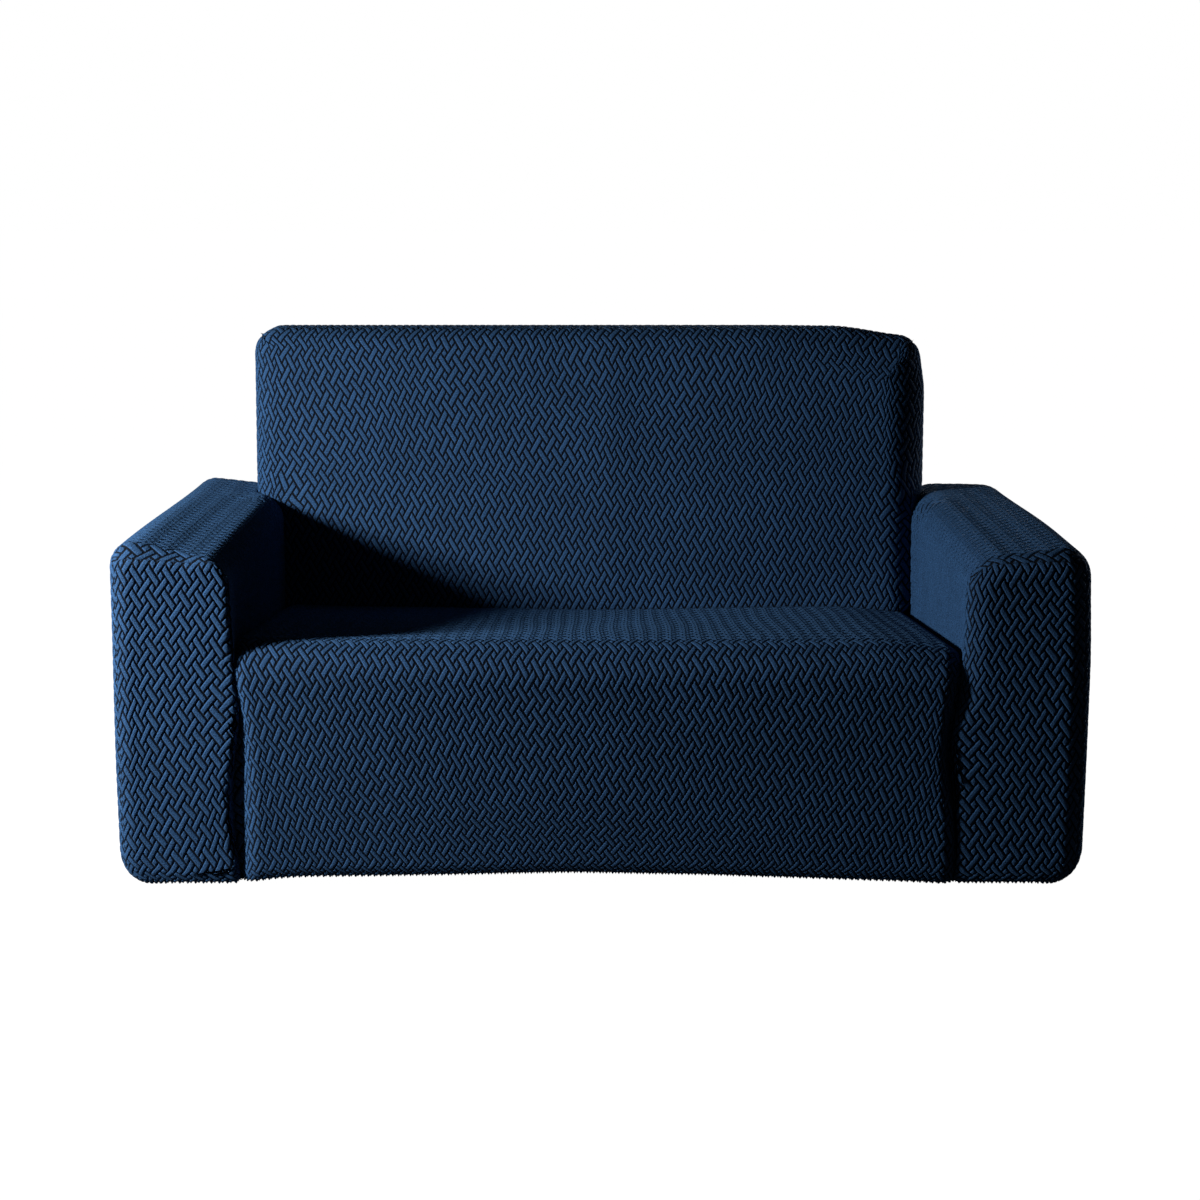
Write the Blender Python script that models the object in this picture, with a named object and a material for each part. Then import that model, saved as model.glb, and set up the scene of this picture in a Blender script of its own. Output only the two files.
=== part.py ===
"""Fitted stretch cover for a two-seat sofa: seven sewn panels of one thick knitted cloth.

Frame: +X towards the right of someone who faces the sofa, the front faces -Y, +Z up.
The origin is at the middle of the footprint, level with the lowest hem. Sizes in metres.

All panels lie on one form, the padded sofa that fills the cover. That form is a distance
function: two arms, a seat and a back, each a block with rounded edges, joined softly.
A net of lines on a stepped box is drawn onto the form, so that neighbouring panels share
the points of their seam, and each panel then gets its thickness inwards from that net.
The cover is open underneath, and its elastic hem curls in below the edge of the sofa.
"""

import bpy
import numpy as np

# Overall sizes of the cover.
HALF_WIDTH = 0.799
HALF_DEPTH = 0.438
ARM_HEIGHT = 0.548
BACK_HEIGHT = 0.858
SEAT_FRONT_HEIGHT = 0.402
SEAT_REAR_HEIGHT = 0.338

# Where the four blocks meet, across the sofa and front to back.
ARM_LEFT_INNER = -0.603
ARM_RIGHT_INNER = 0.592
BACK_LEFT = -0.658
BACK_RIGHT = 0.617
ARM_FRONT = -0.431
ARM_REAR = 0.426
BACK_FACE = 0.225

# Arms: both lean in a little and rise to their outer edges, most of all in front.
ARM_REACH = (0.62, 0.80)
LEFT_ARM_LEAN = 0.004
LEFT_ARM_LEAN_RISE = (0.15, 0.548)
LEFT_ARM_RISE = 0.026
LEFT_ARM_RISE_LOSS = 0.3
LEFT_ARM_RISE_ZONE = (-0.35, 0.35)
RIGHT_ARM_LEAN = 0.006
RIGHT_ARM_LEAN_RISE = (0.35, 0.548)
RIGHT_ARM_RISE = 0.020
RIGHT_ARM_RISE_LOSS = 0.8
RIGHT_ARM_RISE_ZONE = (-0.20, 0.43)
RIGHT_ARM_TILT = 0.04
RIGHT_ARM_TILT_FROM = 0.66

# Seat: it falls towards the back, sags in its middle and drops at both sides.
SEAT_FALL_FROM = -0.36
SEAT_SIDE_DROP = 0.020
SEAT_SIDE_ZONE = (0.44, 0.60)
SEAT_SIDE_INSET = 0.006
SEAT_SAG = 0.006
SEAT_SAG_REACH = 0.45
SEAT_SAG_START = (-0.30, 0.0)
SEAT_UNDER_BACK = 0.10

# Back: its front reclines and swells, and its right shoulder drops and leans in.
BACK_RECLINE = 0.09
BACK_FRONT_ZONE = (0.27, 0.40)
BACK_SWELL = 0.010
BACK_SWELL_RISE = (0.30, 0.50)
BACK_SWELL_FALL = (0.60, 0.84)
RIGHT_SHOULDER_DROP = 0.018
RIGHT_SHOULDER_ZONE = (0.44, 0.60)
RIGHT_SHOULDER_LEAN = 0.012
RIGHT_SHOULDER_LEAN_RISE = (0.73, 0.84)
RIGHT_SHOULDER_LEAN_REACH = (0.45, 0.617)

# Corner radii of each block's section: low-low, low-high, high-low, high-high.
LEFT_ARM_CORNERS = (0.010, 0.044, 0.010, 0.045)
RIGHT_ARM_CORNERS = (0.010, 0.060, 0.010, 0.044)
SEAT_CORNERS = (0.010, 0.060, 0.010, 0.010)
BACK_CORNERS = (0.010, 0.045, 0.010, 0.036)

# Roundness at both ends of each block, and of the creases between the blocks.
EDGE_ARM = 0.034
EDGE_BACK = 0.045
EDGE_SEAT = 0.034
SOFT_JOIN = 0.014

# The blocks run down past the hem to this height.
BELOW = -0.30

# Cloth, seams and hem.
THICKNESS = 0.0026
SEAM_GAP = 0.00036
TUCK_DEPTH = 0.034
TUCK_FADE_FROM = 0.20
HEM_CURL_SIDE = (0.034, 0.058)
HEM_CURL_FRONT = (0.012, 0.024)
HEM_TURN = 1.45
CURL_ZONE_SIDE = 0.095
CURL_ZONE_FRONT = 0.050
SIDE_TAPER = 0.001
SIDE_TAPER_HEIGHT = 0.24
PUCKER_REACH = 0.035
PUCKER_ZONE = (0.01, 0.07)
CLOTH_COLOUR = (0.012, 0.034, 0.085, 1.0)
CLOTH_ROUGHNESS = 0.85

# Height of the skirt's arched hem above the arms' hem, across the sofa, and where it fades.
ARCH_FADE = 0.30
HEM_ARCH = (
    # across, rise
    (-0.603, 0.000),
    (-0.560, 0.008),
    (-0.500, 0.013),
    (-0.300, 0.015),
    (-0.050, 0.020),
    (0.165, 0.016),
    (0.500, 0.005),
    (0.592, 0.000),
)

# Inner edges of the two arm fronts, which pucker at their seam: sideways shift by height.
LEFT_PUCKER = (
    # height, shift
    (0.00, 0.008),
    (0.04, 0.002),
    (0.12, -0.004),
    (0.18, 0.000),
    (0.27, 0.007),
    (0.36, 0.001),
    (0.54, 0.000),
)
RIGHT_PUCKER = (
    # height, shift
    (0.00, -0.008),
    (0.05, -0.003),
    (0.12, -0.002),
    (0.19, -0.007),
    (0.24, -0.008),
    (0.34, 0.000),
    (0.54, 0.000),
)

# How tables are softened, and how much of the net's spacing stays even.
SOFTENING = 0.02
EVEN_SHARE = 0.45

# How points are laid on the form: probe length, share of the way per step, and rounds.
PROBE = 0.0004
LAYING_SHARE = 0.8
CREASE_ROUNDS = 8
CREASE_STEPS = 2
LAYING_ROUNDS = 14
SMOOTH_UP_TO = 60.0

# Spacing of the net, from one named line to the next.
ACROSS = (
    # from, to, steps
    (-HALF_WIDTH, BACK_LEFT, 5),
    (BACK_LEFT, ARM_LEFT_INNER, 4),
    (ARM_LEFT_INNER, ARM_RIGHT_INNER, 18),
    (ARM_RIGHT_INNER, BACK_RIGHT, 3),
    (BACK_RIGHT, HALF_WIDTH, 5),
)
DEEP = (
    # from, to, steps
    (ARM_FRONT, BACK_FACE, 10),
    (BACK_FACE, HALF_DEPTH, 6),
)
UP = (
    # from, to, steps
    (-0.5 * HEM_CURL_SIDE[1], SEAT_FRONT_HEIGHT, 8),
    (SEAT_FRONT_HEIGHT, ARM_HEIGHT, 4),
    (ARM_HEIGHT, BACK_HEIGHT, 6),
)


def ease(value, low, high):
    """Smooth step: 0 below low, 1 above high, with level ends between them."""
    t = np.clip((value - low) / (high - low), 0.0, 1.0)
    return t * t * (3.0 - 2.0 * t)


def by_table(value, table):
    """Straight-line reading of a two-column table, softened by averaging three nearby readings."""
    columns = np.array(table).T
    shifts = (-SOFTENING, 0.0, SOFTENING)
    return sum(np.interp(value + shift, *columns) for shift in shifts) / len(shifts)


def rounded_block(across, along, up, sizes, corners, edge):
    """Distance to a block whose section (across, up) has its own corner radii.

    sizes holds the low and high value of each of the three directions. corners gives the
    radius of the section's four corners: low-low, low-high, high-low, high-high. The section
    is carried along the third direction, and both of its ends are rounded by edge.
    """
    (a0, a1), (l0, l1), (u0, u1) = sizes
    a = across - 0.5 * (a0 + a1)
    u = up - 0.5 * (u0 + u1)
    low_low, low_high, high_low, high_high = corners
    lower = np.where(a > 0.0, high_low, low_low)
    upper = np.where(a > 0.0, high_high, low_high)
    radius = np.where(u > 0.0, upper, lower)
    qa = np.abs(a) - 0.5 * (a1 - a0) + radius
    qu = np.abs(u) - 0.5 * (u1 - u0) + radius
    section = np.hypot(np.maximum(qa, 0.0), np.maximum(qu, 0.0))
    section = section + np.minimum(np.maximum(qa, qu), 0.0) - radius
    ends = np.abs(along - 0.5 * (l0 + l1)) - 0.5 * (l1 - l0) + edge
    section = section + edge
    outside = np.hypot(np.maximum(section, 0.0), np.maximum(ends, 0.0))
    return outside + np.minimum(np.maximum(section, ends), 0.0) - edge


def soft_union(first, second):
    """The smaller of two distances, with a fillet where they are nearly equal."""
    overlap = np.maximum(SOFT_JOIN - np.abs(first - second), 0.0) / SOFT_JOIN
    return np.minimum(first, second) - 0.25 * SOFT_JOIN * overlap * overlap


def seat_height(y):
    """Height of the seat: it falls gently from the front roll to the crease at the back."""
    return np.interp(y, (SEAT_FALL_FROM, BACK_FACE), (SEAT_FRONT_HEIGHT, SEAT_REAR_HEIGHT))


def arm_distance(x, y, z, side):
    """Distance to one arm. side is -1 for the left arm and +1 for the right one."""
    outer = ease(side * x, *ARM_REACH)
    if side < 0:
        lean = LEFT_ARM_LEAN * ease(z, *LEFT_ARM_LEAN_RISE) * outer
        kept = 1.0 - LEFT_ARM_RISE_LOSS * ease(y, *LEFT_ARM_RISE_ZONE)
        top = LEFT_ARM_RISE * outer * kept
        sizes = ((-HALF_WIDTH, ARM_LEFT_INNER), (ARM_FRONT, ARM_REAR), (BELOW, ARM_HEIGHT))
        return rounded_block(x - lean, y, z - top, sizes, LEFT_ARM_CORNERS, EDGE_ARM)
    lean = RIGHT_ARM_LEAN * ease(z, *RIGHT_ARM_LEAN_RISE) * outer
    kept = 1.0 - RIGHT_ARM_RISE_LOSS * ease(y, *RIGHT_ARM_RISE_ZONE)
    top = RIGHT_ARM_RISE * outer * kept - RIGHT_ARM_TILT * (x - RIGHT_ARM_TILT_FROM)
    sizes = ((ARM_RIGHT_INNER, HALF_WIDTH), (ARM_FRONT, ARM_REAR), (BELOW, ARM_HEIGHT))
    return rounded_block(x + lean, y, z - top, sizes, RIGHT_ARM_CORNERS, EDGE_ARM)


def seat_distance(x, y, z):
    """Distance to the seat with its front skirt. The section runs front to back."""
    from_middle = np.abs(x - 0.5 * (ARM_LEFT_INNER + ARM_RIGHT_INNER))
    drop = SEAT_SIDE_DROP * ease(from_middle, *SEAT_SIDE_ZONE)
    sag = SEAT_SAG * (1.0 - ease(from_middle, 0.0, SEAT_SAG_REACH)) * ease(y, *SEAT_SAG_START)
    top = seat_height(y) - drop - sag
    sides = (ARM_LEFT_INNER + SEAT_SIDE_INSET, ARM_RIGHT_INNER - SEAT_SIDE_INSET)
    sizes = ((-HALF_DEPTH, BACK_FACE + SEAT_UNDER_BACK), sides, (BELOW, SEAT_FRONT_HEIGHT))
    return rounded_block(y, x, z + SEAT_FRONT_HEIGHT - top, sizes, SEAT_CORNERS, EDGE_SEAT)


def back_distance(x, y, z):
    """Distance to the back, which reclines a little and drops at its right shoulder."""
    at_shoulder = ease(x, *RIGHT_SHOULDER_LEAN_REACH)
    lean = RIGHT_SHOULDER_LEAN * ease(z, *RIGHT_SHOULDER_LEAN_RISE) * at_shoulder
    front = 1.0 - ease(y, *BACK_FRONT_ZONE)
    recline = BACK_RECLINE * np.maximum(z - SEAT_REAR_HEIGHT, 0.0) * front
    swell = BACK_SWELL * ease(z, *BACK_SWELL_RISE) * (1.0 - ease(z, *BACK_SWELL_FALL)) * front
    drop = RIGHT_SHOULDER_DROP * ease(x, *RIGHT_SHOULDER_ZONE)
    sizes = ((BACK_LEFT, BACK_RIGHT), (BACK_FACE, HALF_DEPTH), (BELOW, BACK_HEIGHT))
    return rounded_block(x + lean, y - recline + swell, z + drop, sizes, BACK_CORNERS, EDGE_BACK)


def arms_distance(points):
    """Distance to the nearer arm."""
    x, y, z = np.moveaxis(points, -1, 0)
    return np.minimum(arm_distance(x, y, z, -1), arm_distance(x, y, z, 1))


def back_only_distance(points):
    """Distance to the back alone."""
    return back_distance(*np.moveaxis(points, -1, 0))


def sofa_distance(points):
    """Distance to the whole padded sofa."""
    x, y, z = np.moveaxis(points, -1, 0)
    middle = soft_union(seat_distance(x, y, z), back_distance(x, y, z))
    return soft_union(middle, arms_distance(points))


def slope_of(distance, points):
    """Unit direction in which a distance grows, by central differences."""
    gaps = []
    for axis in np.eye(3) * PROBE:
        gaps.append(distance(points + axis) - distance(points - axis))
    slope = np.stack(gaps, axis=-1)
    return slope / np.maximum(np.linalg.norm(slope, axis=-1, keepdims=True), 1e-9)


def laid_on(distance, points, rounds):
    """Moves points to a surface along the slope of its distance, in small safe steps."""
    for _ in range(rounds):
        step = LAYING_SHARE * distance(points)[..., None]
        points = points - step * slope_of(distance, points)
    return points


def laid_on_sofa(points, in_crease):
    """Lays all points on the sofa. Those of the creases round the back first meet arm and back."""
    crease = points[in_crease]
    for _ in range(CREASE_ROUNDS):
        crease = laid_on(arms_distance, crease, CREASE_STEPS)
        crease = laid_on(back_only_distance, crease, CREASE_STEPS)
    points = points.copy()
    points[in_crease] = crease
    return laid_on(sofa_distance, points, LAYING_ROUNDS)


def pulled_at_seams(points):
    """Shifts the inner edge of each arm front sideways where its seam puckers."""
    x, y, z = np.moveaxis(points, -1, 0)
    front = 1.0 - ease(y - ARM_FRONT, *PUCKER_ZONE)
    near_left = np.exp(-(((x - ARM_LEFT_INNER) / PUCKER_REACH) ** 2))
    near_right = np.exp(-(((x - ARM_RIGHT_INNER) / PUCKER_REACH) ** 2))
    shift = near_left * by_table(z, LEFT_PUCKER) + near_right * by_table(z, RIGHT_PUCKER)
    return np.stack([x + front * shift, y, z], axis=-1)


def curled_at_hem(points):
    """Curls the lowest stretch in along a quarter ellipse, and lifts the skirt's arch.

    Above the curl, both sides already draw in a little towards the hem.
    """
    x, y, z = np.moveaxis(points, -1, 0)
    at_side = ease(np.abs(x), HALF_WIDTH - CURL_ZONE_SIDE, HALF_WIDTH)
    at_end = ease(np.abs(y), HALF_DEPTH - CURL_ZONE_FRONT, HALF_DEPTH)
    height = HEM_CURL_FRONT[1] + (HEM_CURL_SIDE[1] - HEM_CURL_FRONT[1]) * at_side
    share = np.clip((height - z) / (height - UP[0][0]), 0.0, 1.0)
    turn = HEM_TURN * share
    level = np.where(z < height, height * (1.0 - np.sin(turn) / np.sin(HEM_TURN)), z)
    inward = 1.0 - np.cos(turn)
    taper = SIDE_TAPER * (1.0 - ease(z, 0.0, SIDE_TAPER_HEIGHT))
    in_x = x - np.sign(x) * at_side * (HEM_CURL_SIDE[0] * inward + taper)
    in_y = y - np.sign(y) * HEM_CURL_FRONT[0] * at_end * inward
    front = (y < 0.0) & (x > ARM_LEFT_INNER) & (x < ARM_RIGHT_INNER)
    arch = by_table(x, HEM_ARCH) * (1.0 - ease(level, 0.0, ARCH_FADE))
    return np.stack([in_x, in_y, level + np.where(front, arch, 0.0)], axis=-1)


def lines_of(spans):
    """Positions of the net's lines, closer together at both ends of each span, and the span ends."""
    lines = [spans[0][0]]
    ends = [0]
    for low, high, steps in spans:
        part = np.arange(1, steps + 1) / steps
        bunched = 0.5 * (1.0 - np.cos(np.pi * part))
        share = EVEN_SHARE * part + (1.0 - EVEN_SHARE) * bunched
        lines.extend(low + (high - low) * share)
        ends.append(len(lines) - 1)
    return np.array(lines), ends


X_LINES, (X0, X1, X2, X3, X4, X5) = lines_of(ACROSS)
Y_LINES, (Y0, Y1, Y2) = lines_of(DEEP)
Z_LINES, (Z0, Z1, Z2, Z3) = lines_of(UP)

# Each panel is made of the stepped box's faces: the fixed axis and line, then both ranges.
PANELS = {
    "back_front": (
        ("y", Y1, (X2, X3), (Z1, Z2)),
        ("y", Y1, (X1, X4), (Z2, Z3)),
        ("z", Z3, (X1, X4), (Y1, Y2)),
        ("x", X1, (Y1, Y2), (Z2, Z3)),
        ("x", X4, (Y1, Y2), (Z2, Z3)),
    ),
    "back_rear": (
        ("y", Y2, (X0, X5), (Z0, Z2)),
        ("y", Y2, (X1, X4), (Z2, Z3)),
    ),
    "seat_skirt": (
        ("y", Y0, (X2, X3), (Z0, Z1)),
        ("z", Z1, (X2, X3), (Y0, Y1)),
    ),
    "arm_left_wrap": (
        ("x", X0, (Y0, Y2), (Z0, Z2)),
        ("z", Z2, (X0, X2), (Y0, Y1)),
        ("z", Z2, (X0, X1), (Y1, Y2)),
        ("x", X2, (Y0, Y1), (Z1, Z2)),
    ),
    "arm_right_wrap": (
        ("x", X5, (Y0, Y2), (Z0, Z2)),
        ("z", Z2, (X3, X5), (Y0, Y1)),
        ("z", Z2, (X4, X5), (Y1, Y2)),
        ("x", X3, (Y0, Y1), (Z1, Z2)),
    ),
    "arm_left_front": (("y", Y0, (X0, X2), (Z0, Z2)),),
    "arm_right_front": (("y", Y0, (X3, X5), (Z0, Z2)),),
}

# Faces whose cells run the right way round for their outer side. The others are reversed.
FACING_OUT = {("x", X2), ("x", X4), ("x", X5), ("y", Y0), ("y", Y1), ("z", Z1), ("z", Z2), ("z", Z3)}


def face_quads(axis, line, first, second):
    """Corner keys (i, j, k) of every cell of one face, in order round the cell, facing out."""
    quads = []
    for a in range(*first):
        for b in range(*second):
            ring = ((a, b), (a + 1, b), (a + 1, b + 1), (a, b + 1))
            if axis == "x":
                keys = [(line, p, q) for p, q in ring]
            elif axis == "y":
                keys = [(p, line, q) for p, q in ring]
            else:
                keys = [(p, q, line) for p, q in ring]
            quads.append(keys if (axis, line) in FACING_OUT else keys[::-1])
    return quads


def net_point(key):
    """Place of one point of the net on the stepped box, before it is laid on the sofa."""
    i, j, k = key
    x, y, z = X_LINES[i], Y_LINES[j], Z_LINES[k]
    inside = X2 <= i <= X3 and j <= Y1
    if inside and Z1 <= k <= Z2:
        share = (z - SEAT_FRONT_HEIGHT) / (ARM_HEIGHT - SEAT_FRONT_HEIGHT)
        z = seat_height(y) + share * (ARM_HEIGHT - seat_height(y))
    if i in (X2, X3) and 0 < j < Y1 and k == Z1:
        z -= TUCK_DEPTH
    if i in (X2, X3) and j == Y0 and k <= Z1:
        y += TUCK_DEPTH
        z -= TUCK_DEPTH * ease(z, TUCK_FADE_FROM, SEAT_FRONT_HEIGHT)
    return x, y, z


def in_back_crease(key):
    """True where the net's point lies on the line in which an arm meets the back."""
    i, j, k = key
    beside = i in (X2, X3) and j == Y1 and Z1 <= k <= Z2
    over = (X1 <= i <= X2 or X3 <= i <= X4) and j == Y1 and k == Z2
    behind = i in (X1, X4) and Y1 <= j < Y2 and k == Z2
    return beside or over or behind


def whole_net():
    """Numbers every point once. Returns points, outward normals and each panel's cells."""
    number = {}
    cells = {}
    for name, faces in PANELS.items():
        quads = [quad for face in faces for quad in face_quads(*face)]
        cells[name] = np.array([[number.setdefault(key, len(number)) for key in quad] for quad in quads])
    in_crease = np.array([in_back_crease(key) for key in number])
    points = laid_on_sofa(np.array([net_point(key) for key in number]), in_crease)
    points = curled_at_hem(pulled_at_seams(points))
    normals = np.zeros_like(points)
    for quads in cells.values():
        corner = points[quads]
        cross = np.cross(corner[:, 2] - corner[:, 0], corner[:, 3] - corner[:, 1])
        cross /= np.maximum(np.linalg.norm(cross, axis=1, keepdims=True), 1e-12)
        for column in range(4):
            np.add.at(normals, quads[:, column], cross)
    normals /= np.linalg.norm(normals, axis=1, keepdims=True)
    return points, normals, cells


def rim_of(quads):
    """Directed edges that only one cell of the panel uses."""
    edges = np.concatenate([quads[:, [n, (n + 1) % 4]] for n in range(4)])
    owners = np.tile(np.arange(len(quads)), 4)
    known = {tuple(edge) for edge in edges.tolist()}
    alone = np.array([(b, a) not in known for a, b in edges.tolist()])
    return edges[alone], owners[alone]


def drawn_in(points, normals, quads, rim, owners):
    """Moves the panel's rim into the panel by half the seam gap, mitred at its corners."""
    inward = np.zeros_like(points)
    centre = points[quads].mean(axis=1)[owners]
    start, end = points[rim[:, 0]], points[rim[:, 1]]
    along = (end - start) / np.linalg.norm(end - start, axis=1, keepdims=True)
    middle = 0.5 * (normals[rim[:, 0]] + normals[rim[:, 1]])
    across = np.cross(middle, along)
    across /= np.linalg.norm(across, axis=1, keepdims=True)
    across *= np.sign(((centre - start) * across).sum(axis=1))[:, None]
    for column in range(2):
        np.add.at(inward, rim[:, column], across)
    length = np.maximum((inward**2).sum(axis=1, keepdims=True), 1.0)
    return points + SEAM_GAP * inward / length


def split(quads):
    """Two triangles for each four-cornered cell."""
    return np.concatenate([quads[:, [0, 1, 2]], quads[:, [0, 2, 3]]])


def rim_wall(rim, renumber, count):
    """Triangles between the outer and inner rim. Both panels of a seam split them alike."""
    wall = []
    for a, b in rim.tolist():
        first, second = renumber[a], renumber[b]
        low, high = first + count, second + count
        if a < b:
            wall += [[second, first, high], [first, low, high]]
        else:
            wall += [[second, first, low], [second, low, high]]
    return wall


def panel_mesh(name, points, normals, quads):
    """Closed mesh of one panel: outer side, inner side one thickness below it, and the rim."""
    rim, owners = rim_of(quads)
    outer = drawn_in(points, normals, quads, rim, owners)
    used, flat = np.unique(quads, return_inverse=True)
    renumber = {old: new for new, old in enumerate(used.tolist())}
    outer = outer[used]
    inner = outer - THICKNESS * normals[used]
    count = len(used)
    cells = split(flat.reshape(quads.shape))
    faces = cells.tolist() + (cells[:, ::-1] + count).tolist() + rim_wall(rim, renumber, count)
    mesh = bpy.data.meshes.new(name)
    mesh.from_pydata(np.concatenate([outer, inner]).tolist(), [], faces)
    return mesh


def cloth_material():
    """Dark blue stretch knit, with a matt fuzzy surface."""
    material = bpy.data.materials.new("blue_stretch_knit")
    material.use_nodes = True
    shader = material.node_tree.nodes["Principled BSDF"]
    shader.inputs["Base Color"].default_value = CLOTH_COLOUR
    shader.inputs["Roughness"].default_value = CLOTH_ROUGHNESS
    shader.inputs["Metallic"].default_value = 0.0
    material.diffuse_color = CLOTH_COLOUR
    return material


def add_panel(name, mesh, material):
    """Puts one panel into the scene, shaded smooth but for its cut rim."""
    mesh.materials.append(material)
    mesh.shade_smooth()
    mesh.set_sharp_from_angle(angle=np.radians(SMOOTH_UP_TO))
    panel = bpy.data.objects.new(name, mesh)
    bpy.context.scene.collection.objects.link(panel)
    return panel


def main():
    for leftover in list(bpy.data.objects):
        bpy.data.objects.remove(leftover, do_unlink=True)
    points, normals, cells = whole_net()
    lowest = points[:, 2].min()
    points[:, 2] -= lowest
    material = cloth_material()
    for name, quads in cells.items():
        add_panel(name, panel_mesh(name, points, normals, quads), material)


main()
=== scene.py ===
# %% [markdown]
# # A stretch cover on a two-seat sofa
# The cover is seven pieces of one thick knitted cloth. Its face is a basket relief of raised
# diagonal bars. The sofa inside is left out, so the cloth keeps the sofa's form by itself.
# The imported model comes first, because every piece has to lie where its solid lies.

# %% Load the frame
import math
from types import SimpleNamespace

import bpy
import numpy as np
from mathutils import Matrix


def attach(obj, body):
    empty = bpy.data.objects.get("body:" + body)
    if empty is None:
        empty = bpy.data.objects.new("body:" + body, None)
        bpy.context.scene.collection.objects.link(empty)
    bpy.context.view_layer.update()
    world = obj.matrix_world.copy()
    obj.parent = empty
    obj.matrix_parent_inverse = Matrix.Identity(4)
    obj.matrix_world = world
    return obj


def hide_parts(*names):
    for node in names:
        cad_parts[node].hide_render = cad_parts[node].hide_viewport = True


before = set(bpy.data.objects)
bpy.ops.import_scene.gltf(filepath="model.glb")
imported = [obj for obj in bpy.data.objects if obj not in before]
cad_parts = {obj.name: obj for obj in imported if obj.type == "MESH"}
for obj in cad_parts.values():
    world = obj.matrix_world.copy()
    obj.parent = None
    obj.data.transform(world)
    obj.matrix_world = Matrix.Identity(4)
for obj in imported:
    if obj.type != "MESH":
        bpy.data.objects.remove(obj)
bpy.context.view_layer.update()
print("nodes:", sorted(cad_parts))

# %% [markdown]
# ## The form under the cloth
# A padded sofa has no flat faces and no sharp edges. A distance function describes such a
# form well: it gives the distance from any point to the surface, and a point is laid on
# the surface when it moves by that distance along the slope. Four rounded blocks of the
# solids' own sizes are enough.

# %% Sizes of the form, in metres
HALF_WIDTH = 0.799
HALF_DEPTH = 0.438
ARM_HEIGHT = 0.548
BACK_HEIGHT = 0.858
SEAT_FRONT_HEIGHT = 0.402
SEAT_REAR_HEIGHT = 0.338
ARM_INNER = (-0.603, 0.592)
BACK_SIDE = (-0.658, 0.617)
ARM_FRONT = -0.431
ARM_REAR = 0.426
BACK_FACE = 0.225
BELOW = -0.30
EDGE_ARM = 0.034
EDGE_TIGHTER = 0.023
EDGE_BACK = 0.045
EDGE_SEAT = 0.034
TUCK = 0.034
HEM_LINE = -0.029
HEM_REST = 0.004


def ease(value, low, high):
    """Smooth step: 0 below low, 1 above high, with level ends between them."""
    t = np.clip((value - low) / (high - low), 0.0, 1.0)
    return t * t * (3.0 - 2.0 * t)


def xyz(points):
    """The three coordinates of an array of points."""
    return np.moveaxis(points, -1, 0)


def unit(vectors):
    """The same directions with length 1."""
    return vectors / np.maximum(np.linalg.norm(vectors, axis=-1, keepdims=True), 1e-12)


def rounded_block(across, along, up, sizes, corners, edge):
    """Distance to a block: a rectangle with four corner radii, carried along, ends rounded.

    The section's distance is the length of what lies past the corner circles' centres, less
    the radius. The same rule joins the section to the ends.
    """
    (a0, a1), (l0, l1), (u0, u1) = sizes
    a = across - 0.5 * (a0 + a1)
    u = up - 0.5 * (u0 + u1)
    low_low, low_high, high_low, high_high = corners
    lower = np.where(a > 0.0, high_low, low_low)
    radius = np.where(u > 0.0, np.where(a > 0.0, high_high, low_high), lower)
    qa = np.abs(a) - 0.5 * (a1 - a0) + radius
    qu = np.abs(u) - 0.5 * (u1 - u0) + radius
    section = np.hypot(np.maximum(qa, 0.0), np.maximum(qu, 0.0))
    section += np.minimum(np.maximum(qa, qu), 0.0) - radius + edge
    ends = np.abs(along - 0.5 * (l0 + l1)) - 0.5 * (l1 - l0) + edge
    outside = np.hypot(np.maximum(section, 0.0), np.maximum(ends, 0.0))
    return outside + np.minimum(np.maximum(section, ends), 0.0) - edge


def seat_height(y):
    """Straight fall of the seat from its front roll to the crease at the back."""
    return np.interp(y, (-0.36, BACK_FACE), (SEAT_FRONT_HEIGHT, SEAT_REAR_HEIGHT))


# %% The four blocks
def left_arm(points):
    """Distance to the left arm, which rises to its outer edge and is sharp beside the seat."""
    x, y, z = xyz(points)
    outer = ease(-x, 0.62, 0.80)
    lean = 0.004 * ease(z, 0.15, ARM_HEIGHT) * outer
    top = 0.026 * outer * (1.0 - 0.45 * ease(y, -0.35, 0.35))
    sizes = ((-HALF_WIDTH, ARM_INNER[0]), (ARM_FRONT, ARM_REAR), (BELOW, ARM_HEIGHT))
    corners = (0.010, 0.044, 0.010, 0.045)
    edge = EDGE_ARM - EDGE_TIGHTER * ease(x, -0.68, -0.62)
    return rounded_block(x - lean, y, z - top, sizes, corners, edge)


def right_arm(points):
    """Distance to the right arm, whose top falls outwards, with a round edge there."""
    x, y, z = xyz(points)
    outer = ease(x, 0.62, 0.80)
    lean = 0.006 * ease(z, 0.35, ARM_HEIGHT) * outer
    top = 0.020 * outer * (1.0 - 0.8 * ease(y, -0.20, 0.43)) - 0.04 * (x - 0.66)
    sizes = ((ARM_INNER[1], HALF_WIDTH), (ARM_FRONT, ARM_REAR), (BELOW, ARM_HEIGHT))
    corners = (0.010, 0.060, 0.010, 0.052)
    edge = EDGE_ARM - EDGE_TIGHTER * (1.0 - ease(x, 0.61, 0.67)) * (1.0 - ease(z, 0.24, 0.34))
    edge += 0.016 * ease(x, 0.70, 0.78)
    return rounded_block(x + lean, y, z - top, sizes, corners, edge)


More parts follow.
